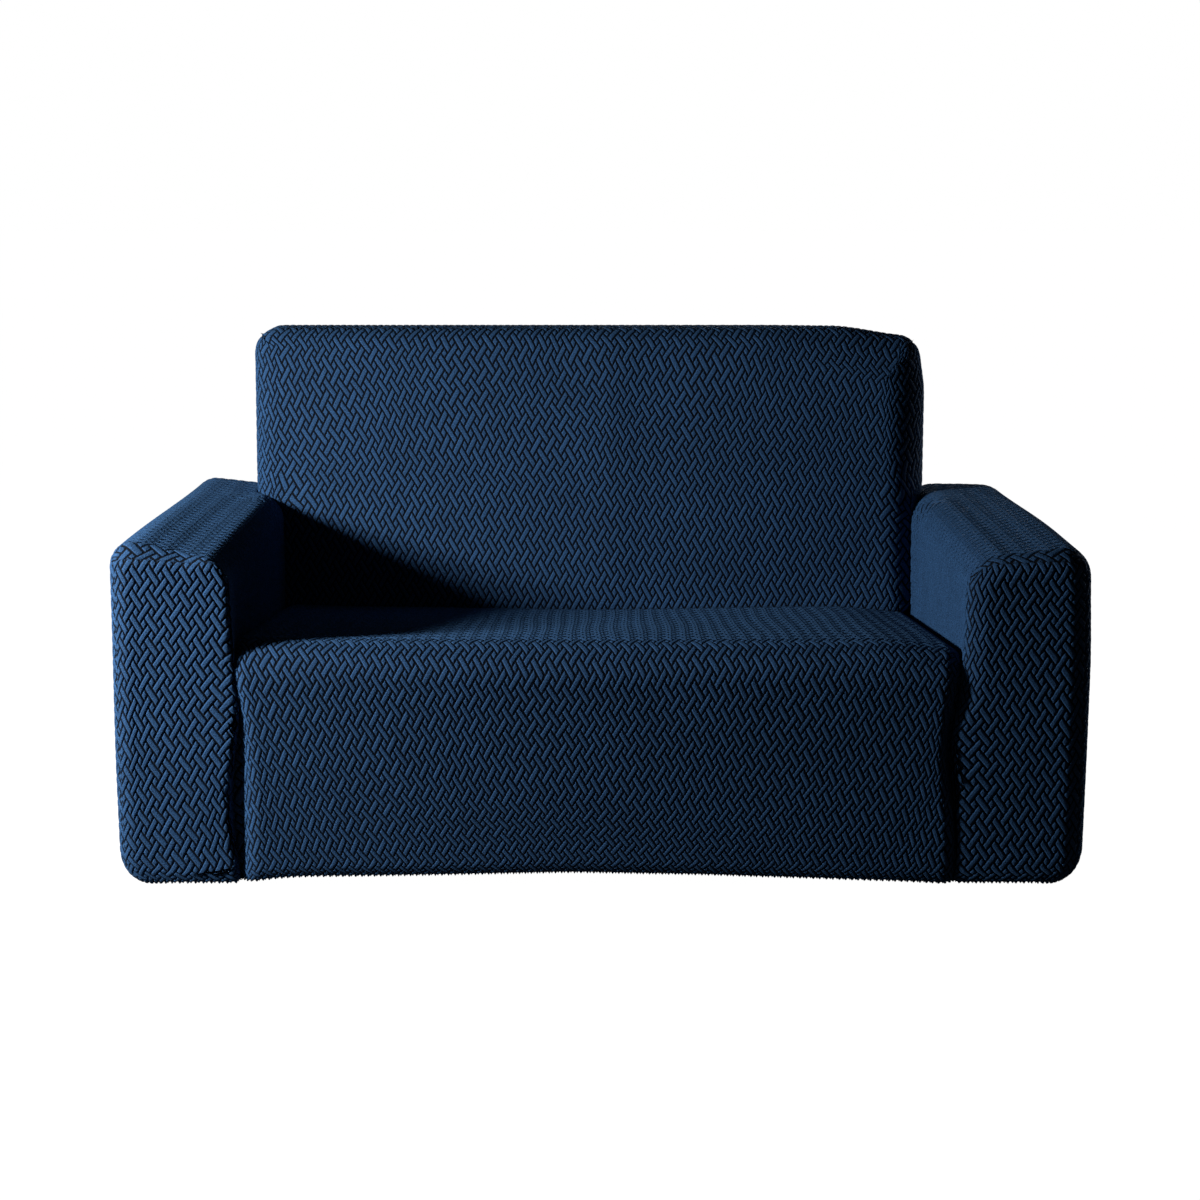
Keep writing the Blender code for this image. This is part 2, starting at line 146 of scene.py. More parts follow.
def seat(points):
    """Distance to the seat and its skirt: it sags in the middle and drops at the right."""
    x, y, z = xyz(points)
    off = np.abs(x - 0.5 * sum(ARM_INNER))
    top = seat_height(y) - np.where(x < 0.0, -0.004, 0.012) * ease(off, 0.44, 0.60)
    top -= 0.006 * (1.0 - ease(off, 0.0, 0.45)) * ease(y, -0.30, 0.0)
    sides = (ARM_INNER[0] - 0.001, ARM_INNER[1] + 0.001)
    sizes = ((-HALF_DEPTH, BACK_FACE + 0.10), sides, (BELOW, SEAT_FRONT_HEIGHT))
    corners = (0.010, 0.060, 0.010, 0.010)
    edge = EDGE_SEAT - 0.012 * (1.0 - ease(x, -0.60, -0.50)) * ease(z, 0.28, 0.36)
    return rounded_block(y, x, z + SEAT_FRONT_HEIGHT - top, sizes, corners, edge)


def back(points):
    """Distance to the back, which reclines, swells and drops at its right shoulder.

    Both ends bend away by the square of the way past a line.
    """
    x, y, z = xyz(points)
    front = 1.0 - ease(y, 0.27, 0.40)
    recline = 0.09 * np.maximum(z - SEAT_REAR_HEIGHT, 0.0) * front
    swell = 0.010 * ease(z, 0.30, 0.50) * (1.0 - ease(z, 0.60, 0.84)) * front
    drop = 0.018 * ease(x, 0.44, 0.60)
    lean = 0.012 * ease(z, 0.73, 0.84) * ease(x, 0.45, 0.617)
    bend = 0.30 * np.maximum(-0.42 - x, 0.0) ** 2 + 0.11 * np.maximum(x - 0.15, 0.0) ** 2
    ridge = 0.003 * np.exp(-(((x - 0.02) / 0.05) ** 2))
    swell += (ridge - bend) * front * ease(z, 0.30, 0.45)
    edge = EDGE_BACK + 0.040 * ease(x, 0.30, 0.58)
    sizes = (BACK_SIDE, (BACK_FACE, HALF_DEPTH), (BELOW, BACK_HEIGHT))
    corners = (0.010, 0.045, 0.010, 0.036)
    return rounded_block(x + lean, y - recline + swell, z + drop, sizes, corners, edge)


def soft_union(first, second, width=0.014):
    """The smaller of two distances, with a fillet where they are nearly equal."""
    overlap = np.maximum(width - np.abs(first - second), 0.0) / width
    return np.minimum(first, second) - 0.25 * width * overlap * overlap


def whole_sofa(points):
    """Distance to all four blocks, joined softly."""
    arms = np.minimum(left_arm(points), right_arm(points))
    return soft_union(soft_union(seat(points), back(points)), arms)


# %% Laying points on the form
def slope_of(distance, points):
    """Unit direction in which a distance grows, from six probes 0.4 mm away."""
    gaps = [distance(points + axis) - distance(points - axis) for axis in np.eye(3) * 0.0004]
    return unit(np.stack(gaps, axis=-1))


def laid_on(distance, points, rounds):
    """Moves points to a surface: each round goes 0.9 of the distance back along the slope."""
    for _ in range(rounds):
        points = points - 0.9 * distance(points)[..., None] * slope_of(distance, points)
    return points


# %% [markdown]
# ## Where the cloth puckers and where its hem curls in
# Three maps of space come after the laying. One shifts the inner edges of the arm fronts
# sideways, where the seam there is drawn up unevenly. One opens the tucks between arms and
# skirt, where the stretched cloth pulls the skirt's edges away. The last curls the lowest
# stretch in under the sofa, as the elastic does, and lifts the arch of the front skirt.

# %% The three maps
PUCKER_WIDTH = 0.035
TUCK_WIDTH = 0.045
HEM_ARCH = (
    (-0.603, -0.560, -0.500, -0.300, -0.050, 0.165, 0.500, 0.592),
    (0.000, 0.008, 0.013, 0.015, 0.020, 0.016, 0.005, 0.000),
)
LEFT_PUCKER = (
    (0.00, 0.03, 0.07, 0.14, 0.21, 0.28, 0.32, 0.42, 0.54),
    (0.004, 0.002, -0.005, -0.009, -0.002, 0.011, 0.011, 0.004, 0.000),
)
RIGHT_PUCKER = (
    (0.00, 0.03, 0.07, 0.14, 0.20, 0.26, 0.31, 0.40, 0.54),
    (-0.010, -0.010, -0.007, -0.013, -0.019, -0.020, -0.010, -0.004, -0.003),
)
LEFT_TUCK = (
    (0.00, 0.04, 0.09, 0.14, 0.21, 0.28, 0.33, 0.40),
    (0.006, 0.012, 0.020, 0.024, 0.018, 0.004, -0.002, 0.000),
)
RIGHT_TUCK = (
    (0.00, 0.04, 0.14, 0.21, 0.30, 0.38),
    (0.002, 0.002, -0.002, -0.010, -0.010, -0.004),
)
# The curl in front and at the sides, in metres, and its angle in radians.
CURL_HEIGHT = (0.024, 0.058)
CURL_DEPTH = (0.012, 0.034)
CURL_TURN = 1.45


def by_table(value, table):
    """Straight-line reading of a table, averaged over 20 mm to each side."""
    return sum(np.interp(value + shift, *table) for shift in (-0.02, 0.0, 0.02)) / 3.0


def pulled_sideways(points, width, tables, fade):
    """Shifts x near the lines between arms and seat: a bell times a table, faded with y."""
    x, y, z = xyz(points)
    bells = [np.exp(-(((x - line) / width) ** 2)) for line in ARM_INNER]
    shift = sum(bell * by_table(z, table) for bell, table in zip(bells, tables))
    return np.stack([x + (1.0 - ease(y, *fade)) * shift, y, z], axis=-1)


def pulled_at_seams(points):
    """The arm fronts' inner edges wander sideways."""
    fade = (ARM_FRONT + 0.01, ARM_FRONT + 0.07)
    return pulled_sideways(points, PUCKER_WIDTH, (LEFT_PUCKER, RIGHT_PUCKER), fade)


def pulled_at_tuck(points):
    """The skirt's side edges are drawn away from the arms, down to 38 mm behind its front."""
    fade = (-HALF_DEPTH + 0.025, -HALF_DEPTH + 0.038)
    return pulled_sideways(points, TUCK_WIDTH, (LEFT_TUCK, RIGHT_TUCK), fade)


def curled_at_hem(points):
    """Turns the lowest stretch in along a quarter ellipse, and lifts the skirt's arch."""
    x, y, z = xyz(points)
    at_side = ease(np.abs(x), HALF_WIDTH - 0.095, HALF_WIDTH)
    at_end = ease(np.abs(y), HALF_DEPTH - 0.050, HALF_DEPTH)
    height = CURL_HEIGHT[0] + (CURL_HEIGHT[1] - CURL_HEIGHT[0]) * at_side
    turn = CURL_TURN * np.clip((height - z) / (height - HEM_LINE), 0.0, 1.0)
    fallen = HEM_REST + (height - HEM_REST) * (1.0 - np.sin(turn) / math.sin(CURL_TURN))
    level = np.where(z < height, fallen, z)
    inward = 1.0 - np.cos(turn)
    taper = 0.001 * (1.0 - ease(z, 0.0, 0.24))
    in_x = x - np.sign(x) * at_side * (CURL_DEPTH[1] * inward + taper)
    in_y = y - np.sign(y) * CURL_DEPTH[0] * at_end * inward
    front = (y < 0.0) & (x > ARM_INNER[0]) & (x < ARM_INNER[1])
    arch = by_table(x, HEM_ARCH) * (1.0 - ease(level, 0.0, 0.30))
    return np.stack([in_x, in_y, level + np.where(front, arch, 0.0)], axis=-1)


# %% [markdown]
# ## The panels
# A panel is a grid with two parameters, across and up. Each parameter runs along a tape
# that is stuck round a box a little larger than the sofa, and the grid's points start on the
# box and are then laid on one block. The tapes have stops at the box's corners, and each
# stretch between them holds a whole number of steps, so notches fall on a line.

# %% Tapes on the box
def running_total(lengths):
    """Sums of the lengths so far, from 0 on."""
    return np.cumsum(np.append(0.0, lengths))


def tape(*stops):
    """Returns a function of the length along a broken line through the stops, and the stops."""
    corners = np.array(stops, float)
    marks = running_total(np.linalg.norm(np.diff(corners, axis=0), axis=1))

    def place(length):
        return np.stack([np.interp(length, marks, corners[:, n]) for n in range(3)], axis=-1)

    return place, marks


X0, X5 = -HALF_WIDTH, HALF_WIDTH
X1, X4 = BACK_SIDE
X2, X3 = ARM_INNER
Y0, Y1, Y2 = ARM_FRONT, BACK_FACE, HALF_DEPTH
Z0, Z1, Z2, Z3 = HEM_LINE, SEAT_FRONT_HEIGHT, ARM_HEIGHT, BACK_HEIGHT


def seat_start(u, v, points):
    """The skirt and seat go round both side edges: past them, the tape runs on inwards."""
    width = X3 - X2
    inward = np.maximum(np.maximum(TUCK - u, u - TUCK - width), 0.0)
    corner = Z1 - Z0
    turn = 0.5 * math.pi * ease(v, corner - 0.06, corner + 0.06)
    x = np.clip(X2 + u - TUCK, X2, X3)
    _, y, z = xyz(points)
    z = np.where(v > corner, z - Z1 + seat_height(y), z)
    return np.stack([x, y + inward * np.cos(turn), z - inward * np.sin(turn)], axis=-1)


def arm_width(at_left):
    """How wide an arm's box is."""
    return (X2 - X0) if at_left else (X5 - X3)


def turned_in(z, at_left):
    """How far the arm front's cloth runs round its inner edge onto the inner wall.

    On the left the seam lies on the edge above the seat. On the right it lies on the wall.
    """
    ends = (Z1 - 0.01, Z1 + 0.03) if at_left else (Z2 - 0.06, Z2)
    return TUCK * (1.0 - ease(z, *ends))


def lowered(z):
    """How far the rows drop towards the inner edge, where they meet the seat's crease."""
    share = np.clip((z - Z1) / (Z2 - Z1), 0.0, 1.0)
    return np.where(z < Z1, TUCK * ease(z, 0.20, Z1), TUCK * (1.0 - share))


def front_start(u, v, points):
    """The arm's front goes round its inner edge, and its rows drop towards that edge."""
    x, y, z = xyz(points)
    share = np.minimum(u / arm_width(x[0, 0] < 0.0), 1.0)
    return np.stack([x, y, z - lowered(z) * share], axis=-1)


def on_wall(v, x):
    """True for the rows of an arm's wrap that lie on its inner wall."""
    return v > (Z2 - Z0) + arm_width(x.flat[0] < 0.0) + 1e-6


def started_at(low, z):
    """Stretches heights between the tape's seat stop and the arm's top, to start at low."""
    return low + (z - Z1) / (Z2 - Z1) * (Z2 - low)


def wrap_start(u, v, points):
    """The arm's inner wall goes down past the seat, and its front edge joins the tuck."""
    x, y, z = xyz(points)
    wall = started_at(seat_height(y) - TUCK, z)
    return np.stack([x, y, np.where(on_wall(v, x), wall, z)], axis=-1)


def back_start(u, v, points):
    """Between the arms the back starts at the seat's own height."""
    x, y, z = xyz(points)
    return np.stack([x, y, np.where(z < Z2, started_at(SEAT_REAR_HEIGHT, z), z)], axis=-1)


# %% [markdown]
# ## Where two blocks meet
# The cloth runs down into the creases between seat, arms and back, and is sewn there. A
# crease lies on two blocks at once, so it is found by laying points on one block and the
# other in turn. The shift to it dies out over the next 70 mm of cloth, so that the relief
# beside the crease isn't bunched up.

# %% Drawing a grid to its creases
CREASE_FADE = 0.07


def drawn_to_creases(points, u, v, own, creases):
    """Adds to each point the mean of the crease lines' shifts, weighted by 1 / distance^2."""
    if not creases:
        return points
    total, weight, nearest = 0.0, 0.0, np.inf
    for (u0, u1), (v0, v1), other in creases:
        line = crease = points[v0 : v1 + 1, u0 : u1 + 1]
        for _ in range(8):
            crease = laid_on(own, laid_on(other, crease, 2), 2)
        shift = crease - line
        near_u = np.clip(np.arange(u.shape[1]), u0, u1)
        near_v = np.clip(np.arange(u.shape[0]), v0, v1)
        near = np.ix_(near_v, near_u)
        gap = (u - u[near]) ** 2 + (v - v[near]) ** 2
        share = 1.0 / (gap + 1e-9)
        total = total + share[..., None] * shift[near_v - v0][:, near_u - u0]
        weight = weight + share
        nearest = np.minimum(nearest, gap)
    fade = 1.0 - ease(np.sqrt(nearest), 0.0, CREASE_FADE)
    return points + (fade / weight)[..., None] * total


# %% [markdown]
# ## A relief that wanders
# On a real cover the rows and columns of the relief are never straight: the hem draws the
# skirt in, the back is pulled towards its corners, and each front is twisted a little. A
# drift moves the lines of a panel both ways, and a seam cuts off what would pass it.

# %% Drifts, in metres of cloth
def wander(u, v, size):
    """Two slow waves across and two up, 0.2 to 0.5 m long, with size as their height."""
    across = np.sin(17.0 * u + 9.0 * v) + np.sin(29.0 * u - 13.0 * v + 1.7)
    up = np.sin(15.0 * u - 11.0 * v + 0.6) + np.sin(27.0 * v + 6.0 * u + 2.4)
    return 0.5 * size * across, 0.5 * size * up


def away_from_ends(value, edge):
    """0 at both ends of a grid coordinate, 1 from edge inwards."""
    return ease(value - value.min(), 0.0, edge) * ease(value.max() - value, 0.0, edge)


def skirt_drift(u, v):
    """Columns close up towards the hem, in step with u - middle, and rows dip by 1 - s^2."""
    half = 0.5 * (X3 - X2) + TUCK
    s = u / half - 1.0
    across, up = wander(u, v, 0.003)
    closing = -0.15 * half * s * (1.0 - ease(v, -0.15, 0.50))
    dip = -0.045 * np.maximum(1.0 - s * s, 0.0)
    dip = dip * ease(v, 0.0, 0.24) * (1.0 - ease(v, 0.35, v.max()))
    return closing + across, dip + up * away_from_ends(u, 0.10) * away_from_ends(v, 0.10)


def back_drift(u, v):
    """Columns spread towards the top corners, as (u - middle) (1 - s^4)."""
    half = 0.5 * u.max()
    s = u / half - 1.0
    across, up = wander(u + 1.0, v, 0.005)
    upper = ease(v, 0.16, 0.46) * (1.0 - ease(v, 0.48, v.max()))
    spread = 0.05 * half * s * (1.0 - s**4)
    fade = away_from_ends(u, 0.20) * ease(v, 0.15, 0.24) * away_from_ends(v, 0.10)
    return spread * upper + across * fade, up * fade


def left_front_drift(u, v):
    """Columns bow outwards by a sine, and rows climb to the inner edge."""
    width, height = X2 - X0, v.max()
    bow = -0.013 * ease(u, 0.0, 0.08) * np.sin(math.pi * v / height)
    climb = 0.034 * (np.minimum(u / width, 1.0) - 0.5) * away_from_ends(v, 0.14)
    across, up = wander(u + 0.3, v, 0.0015)
    return bow + across * ease(u, 0.0, 0.03), climb + up * away_from_ends(v, 0.05)


def right_front_drift(u, v):
    """Rows fall to the inner edge, on top of the fall that the tuck gives."""
    fall = -0.012 * (np.minimum(u / (X5 - X3), 1.0) - 0.5) * away_from_ends(v, 0.12)
    across, up = wander(u + 2.0, v, 0.003)
    return across * ease(u, 0.0, 0.05), fall + up * away_from_ends(v, 0.05)


# %% [markdown]
# ## Strands at the seams
# Where an arm's front meets the skirt, the stretched cloth bunches into thin strands along
# the edge, with a knot where the seam begins. Each strand is a radius and a path, as all
# its x and all its z, given one by one because no two strands run alike.

# %% Paths of the strands, in metres
LEFT_STRANDS = (
    (0.0013, (-0.605, -0.602, -0.6005, -0.5996, -0.5985, -0.595, -0.5925),
     (0.530, 0.510, 0.465, 0.415, 0.374, 0.332, 0.300)),
    (0.0022, (-0.607, -0.603, -0.598, -0.600, -0.606), (0.288, 0.293, 0.286, 0.275, 0.272)),
    (0.0017, (-0.594, -0.5965, -0.5960, -0.600), (0.300, 0.288, 0.272, 0.262)),
    (0.0016, (-0.609, -0.605, -0.600, -0.6035, -0.608), (0.280, 0.268, 0.2555, 0.2387, 0.228)),
    (0.0014, (-0.599, -0.6035, -0.6055, -0.608), (0.262, 0.240, 0.200, 0.178)),
    (0.0015, (-0.6044, -0.6125, -0.6140, -0.6130, -0.6065, -0.6015),
     (0.166, 0.150, 0.122, 0.090, 0.060, 0.036)),
    (0.0012, (-0.6255, -0.6185, -0.6130), (0.174, 0.158, 0.146)),
    (0.0012, (-0.6110, -0.6105, -0.6040, -0.6000), (0.118, 0.092, 0.064, 0.046)),
    (0.0015, (-0.6003, -0.614, -0.631, -0.6558, -0.6757), (0.0346, 0.030, 0.026, 0.0234, 0.0191)),
    (0.0012, (-0.6050, -0.625, -0.642), (0.0300, 0.0225, 0.0200)),
)
RIGHT_STRANDS = (
    (0.0016, (0.5775, 0.5745, 0.5740, 0.5775, 0.5800, 0.5814, 0.5840, 0.5848, 0.5825),
     (0.250, 0.235, 0.2055, 0.1764, 0.1523, 0.1157, 0.0792, 0.0547, 0.0203)),
    (0.0013, (0.5765, 0.5805, 0.5850, 0.5901), (0.245, 0.222, 0.195, 0.1644)),
    (0.0012, (0.5800, 0.5790, 0.5830, 0.5840), (0.215, 0.190, 0.160, 0.130)),
)

# %% [markdown]
# ## One table for seven panels
# Each panel has its two tapes, the block it belongs to, the stretches that it lacks, its
# creases as (stops across, stops up, other block), and how far the cloth is stretched. What
# most panels share is said once. Spare lines reach past an edge, for rows cut by a seam.

# %% Panel table
def panel(**this):
    """A panel's row: what most panels share, and over it what this one has of its own."""
    shared = {
        "start": lambda u, v, points: points, "drift": lambda u, v: (0.0 * u, 0.0 * v),
        "ends": None, "dropped": (), "creases": (), "hem": True, "finer": 1,
        "spare": (0, 0), "strands": (), "flush": False,
    }
    return SimpleNamespace(**{**shared, **this})


def wrap_panel(outer, back_side, inner, arm, flush):
    """One arm's cloth: up the outer side, over the top and down the inner wall."""
    top = (outer, 0, Z2), (back_side, 0, Z2), (inner, 0, Z2)
    return panel(
        across=tape((0, Y0, 0), (0, Y1, 0), (0, Y2, 0)),
        up=tape((outer, 0, Z0), *top, (inner, 0, Z1)),
        ends=wrap_ends, start=wrap_start, own=arm, dropped=[(1, 2), (1, 3)],
        creases=[((0, 1), (4, 4), seat), ((1, 1), (2, 4), back), ((1, 2), (2, 2), back)],
        stretch=(1.04, 1.0), flush=flush,
    )


def wrap_ends(v, points):
    """The wrap's front edge steps back on the inner wall, where the front runs round."""
    x, _, z = xyz(points)
    inward = turned_in(z, x.flat[0] < 0.0)
    return np.where(on_wall(v, x), inward, 0.0), Y2 - Y0


def front_ends(v, points):
    """The arm front ends at the inner edge, or past it by what is turned in."""
    at_left = points[0, 0, 0] < 0.0
    return 0.0, arm_width(at_left) + turned_in(points[..., 2], at_left)


def front_panel(outer, inner, arm, drift, strands, flush):
    """One arm's front, from its outer edge to the tuck beside the skirt."""
    return panel(
        across=tape((outer, Y0, 0), (inner, Y0, 0), (inner, Y0 + TUCK, 0)),
        up=tape((0, 0, Z0), (0, 0, Z1), (0, 0, Z2)),
        start=front_start, ends=front_ends, own=arm, drift=drift,
        creases=[((2, 2), (0, 1), seat)],
        stretch=(1.04, 1.0), finer=2, spare=(0, 14), strands=strands, flush=flush,
    )


PANELS = {
    "seat_skirt": panel(
        across=tape((X2 - TUCK, 0, 0), (X3 + TUCK, 0, 0)),
        up=tape((0, Y0, Z0), (0, Y0, Z1), (0, Y1, Z1)),
        start=seat_start, own=seat,
        creases=[((0, 0), (0, 2), left_arm), ((1, 1), (0, 2), right_arm), ((0, 1), (2, 2), back)],
        drift=skirt_drift, stretch=(0.96, 1.0), spare=(38, 38),
    ),
    "back_front": panel(
        across=tape(
            (X1, Y2 - Y1, 0), (X1, 0, 0), (X2, 0, 0), (X3, 0, 0), (X4, 0, 0), (X4, Y2 - Y1, 0)
        ),
        up=tape((0, Y1, Z1), (0, Y1, Z2), (0, Y1, Z3), (0, Y2, Z3)),
        start=back_start, own=back,
        dropped=[(0, 0), (1, 0), (3, 0), (4, 0), (0, 2), (4, 2)],
        creases=[
            ((2, 3), (0, 0), seat), ((2, 2), (0, 1), left_arm), ((3, 3), (0, 1), right_arm),
            ((0, 2), (1, 1), left_arm), ((3, 5), (1, 1), right_arm),
        ],
        hem=False, drift=back_drift, stretch=(0.98, 1.08),
    ),
    "back_rear": panel(
        across=tape((X0, Y2, 0), (X1, Y2, 0), (X4, Y2, 0), (X5, Y2, 0)),
        up=tape((0, 0, Z0), (0, 0, Z2), (0, 0, Z3)),
        own=whole_sofa, dropped=[(0, 1), (2, 1)], stretch=(0.98, 1.06),
    ),
    "arm_left_wrap": wrap_panel(X0, X1, X2, left_arm, False),
    "arm_right_wrap": wrap_panel(X5, X4, X3, right_arm, True),
    "arm_left_front": front_panel(X0, X2, left_arm, left_front_drift, LEFT_STRANDS, False),
    "arm_right_front": front_panel(X5, X3, right_arm, right_front_drift, RIGHT_STRANDS, True),
}
print(len(PANELS), "panels")


# %% [markdown]
# ## Even cloth
# Laying squeezes the steps where the form is round, but real cloth keeps its pattern nearly
# even. So each panel is laid twice: first with plain steps, to measure the cloth between the
# stops, and then with the steps respaced along the measured lengths. A slanting seam cuts
# through the pattern, so there a row simply stops part way.

# %% Grids with even steps of cloth
# Half of a relief cell's two diagonals in metres, a bar's shape, and the first laying's step.
BAR_ACROSS = 0.0062
BAR_UP = 0.0099
BAR_FILL = 0.80
SIDE_POWER = 5.0
END_POWER = 20.0
ROUGH_STEP = 0.012


def read_line(value, known, wanted):
    """Reads a rising table of two rows, and carries its end slopes on past both ends."""
    first, last = (np.diff(wanted) / np.diff(known))[[0, -1]]
    before, after = np.minimum(value - known[0], 0.0), np.maximum(value - known[-1], 0.0)
    return np.interp(value, known, wanted) + first * before + last * after


def drifted(spec, lengths_u, lengths_v, tapes):
    """The grid's coordinates on both tapes after the drift, and the two ends of each row.

    The drift is added to the lengths of cloth, and the result is read back onto the tapes.
    """
    (rough_u, along_u), (rough_v, along_v) = tapes
    u, v = read_line(lengths_u, along_u, rough_u), read_line(lengths_v, along_v, rough_v)
    drift_u, drift_v = spec.drift(*np.meshgrid(u, v))
    grid_u = read_line(lengths_u + drift_u, along_u, rough_u)
    grid_v = read_line(lengths_v[:, None] + drift_v, along_v, rough_v)
    points = spec.across[0](grid_u) + spec.up[0](grid_v)
    low, high = spec.ends(grid_v, points) if spec.ends else (0.0, spec.across[1][-1])
    return grid_u, grid_v, np.broadcast_to(low, grid_u.shape), np.broadcast_to(high, grid_u.shape)


def laid_panel(spec, grid_u, grid_v, stops_u, stops_v):
    """Start on the box, lay on the block, draw to the creases, lay again, pucker and curl.

    Returns the points, and True for each cell that the panel has: the dropped pairs name
    stretches of both tapes.
    """
    points = spec.across[0](grid_u) + spec.up[0](grid_v)
    points = laid_on(spec.own, spec.start(grid_u, grid_v, points), 7)
    creases = []
    for (u0, u1), (v0, v1), other in spec.creases:
        creases.append(((stops_u[u0], stops_u[u1]), (stops_v[v0], stops_v[v1]), other))
    points = drawn_to_creases(points, grid_u, grid_v, spec.own, creases)
    points = laid_on(spec.own, points, 3)
    points = pulled_at_seams(points)
    if spec.own is seat:
        points = pulled_at_tuck(points)
    kept = np.ones((stops_v[-1], stops_u[-1]), bool)
    for part_u, part_v in spec.dropped:
        rows = slice(stops_v[part_v], stops_v[part_v + 1])
        kept[rows, stops_u[part_u] : stops_u[part_u + 1]] = False
    return curled_at_hem(points), kept


def spaced_lines(marks, step, fewest):
    """Lines about one step apart, with a line on every mark. Returns lines and mark indices."""
    lines, stops = [marks[:1]], [0]
    for low, high in zip(marks[:-1], marks[1:]):
        count = max(fewest, round((high - low) / step))
        lines.append(np.linspace(low, high, count + 1)[1:])
        stops.append(stops[-1] + count)
    return np.concatenate(lines), stops


def mean_length(points, kept, axis):
    """Length of the cloth from line to line along one axis, averaged over the kept cells."""
    gaps = np.linalg.norm(np.diff(points, axis=axis), axis=-1)
    if axis == 0:
        gaps, kept = gaps.T, kept.T
    near = kept + 0.0
    sides = np.vstack([near[:1], near]) + np.vstack([near, near[-1:]])
    return (gaps * sides).sum(axis=0) / np.maximum(sides.sum(axis=0), 1e-9)


def even_lines(stops, lengths, step, gather):
    """Lengths of cloth at which the lines lie: equal steps in each stretch.

    Towards a gathered hem the steps shrink: there the measured length counts for more.
    Returns the lines, the stops among them and the length of cloth at each rough line.
    """
    along = running_total(lengths)
    if gather:
        near = 0.5 * (along[1:] + along[:-1])
        along = running_total(lengths * (1.0 + 0.9 * (1.0 - ease(near, 0.010, 0.045))))
    return *spaced_lines(along[stops], step, 1), along


def with_spare(lines, stops, spare):
    """Adds spare lines past both ends. The end stops move out to the last spare lines."""
    low, high = spare
    before = lines[0] + (lines[1] - lines[0]) * np.arange(-low, 0)
    after = lines[-1] + (lines[-1] - lines[-2]) * np.arange(1, high + 1)
    moved = [stop + low for stop in stops]
    moved[0], moved[-1] = 0, moved[-1] + high
    return np.concatenate([before, lines, after]), moved


def cut_rows(grid_u, low, high):
    """Cuts each row's columns off at its two ends, as a seam cuts through the pattern.

    Returns the cut coordinates and, for each point, the number of its column as a fraction:
    past an end all points share the end's own place and number.
    """
    columns = np.arange(grid_u.shape[1]) + 0 * grid_u.astype(int)
    first = np.maximum((grid_u <= low + 1e-9).sum(axis=1, keepdims=True) - 1, 0)
    last = np.minimum((grid_u < high - 1e-9).sum(axis=1, keepdims=True), grid_u.shape[1] - 1)

    def number_at(bound, inner, outer):
        near = np.take_along_axis(grid_u, inner, axis=1)
        gap = np.take_along_axis(grid_u, outer, axis=1) - near
        share = (np.take_along_axis(bound, inner, axis=1) - near) / np.where(gap == 0.0, 1.0, gap)
        return inner + np.clip(share, 0.0, 1.0) * (outer - inner)

    numbers = np.where(columns >= last, number_at(high, last - 1, last), columns)
    numbers = np.where(columns <= first, number_at(low, first + 1, first), numbers)
    return np.clip(grid_u, low, high), numbers, np.clip(columns, first, last)


def cloth_grid(spec):
    """The panel's points on even steps, its kept cells, its stops and its cut columns."""
    finer = spec.finer
    u, stops_u = spaced_lines(spec.across[1], ROUGH_STEP, 2)
    v, stops_v = spaced_lines(spec.up[1], ROUGH_STEP, 2)
    rough, kept = laid_panel(spec, *np.meshgrid(u, v), stops_u, stops_v)
    wide, high = spec.stretch
    step_u, step_v = 0.5 * BAR_ACROSS * wide / finer, 0.5 * BAR_UP * high / finer
    lines_u, stops_u, along_u = even_lines(stops_u, mean_length(rough, kept, 1), step_u, False)
    lines_v, stops_v, along_v = even_lines(stops_v, mean_length(rough, kept, 0), step_v, spec.hem)
    lines_u, stops_u = with_spare(lines_u, stops_u, spec.spare)
    grid_u, grid_v, low, high = drifted(spec, lines_u, lines_v, ((u, along_u), (v, along_v)))
    cut_u, numbers, columns = cut_rows(grid_u, low, high)
    points, kept = laid_panel(spec, cut_u, grid_v, stops_u, stops_v)
    spent = np.diff(numbers, axis=1) < 1e-6
    kept &= ~(spent[1:] & spent[:-1])
    return SimpleNamespace(
        points=points, kept=kept, stops=(stops_u, stops_v), u=cut_u, numbers=numbers,
        columns=columns,
    )


# %% [markdown]
# ## The basket relief
# Long bars run in both diagonals, three cells long and one wide, with small squares between
# them. In slanted coordinates i and j every cell is a unit square, and the sum i + j and
# i - j, both taken modulo four, say which bar a cell belongs to.

# %% Height of the relief
def basket(p, q, chosen=np.where):
    """Height from 0 in a groove to 1 on a bar, and the bar's middle, at a place in metres.

    i = (p / a + q / b) / 2 and j = (p / a - q / b) / 2, with a and b half of a cell's two
    diagonals. A bar has a flat top: (1 - w^5)^0.6 for its width, times (1 - l^20)^0.5 for
    its length. It fills four fifths of its cell both ways. The finish works the same lines
    out in nodes.
    """
    i = 0.5 * (p / BAR_ACROSS + q / BAR_UP)
    j = 0.5 * (p / BAR_ACROSS - q / BAR_UP)
    cell_i, cell_j = np.rint(i), np.rint(j)
    part_i, part_j = i - cell_i, j - cell_j
    s, t = (cell_i + cell_j) % 4.0, (cell_i - cell_j) % 4.0
    apart = np.abs(s - t)
    slash = (apart < 0.5) * (s < 2.5)
    square = (np.abs(apart - 2.0) < 0.5) * (s % 2.0 > 0.5)
    across = chosen(slash, part_j, part_i)
    along = chosen(slash, part_i + s - 1.0, part_j + chosen(square, 0.0, 0.5 * (t - s)))
    half = chosen(square, 0.5, 1.5) - 0.5 * (1.0 - BAR_FILL)
    side = np.minimum(np.abs(across) / (0.5 * BAR_FILL), 1.0)
    end = np.minimum(np.abs(along) / half, 1.0) ** chosen(square, SIDE_POWER, END_POWER)
    height = (1.0 - side**SIDE_POWER) ** 0.6 * (1.0 - end) ** 0.5
    return height, i - chosen(slash, along, across), j - chosen(slash, across, along)


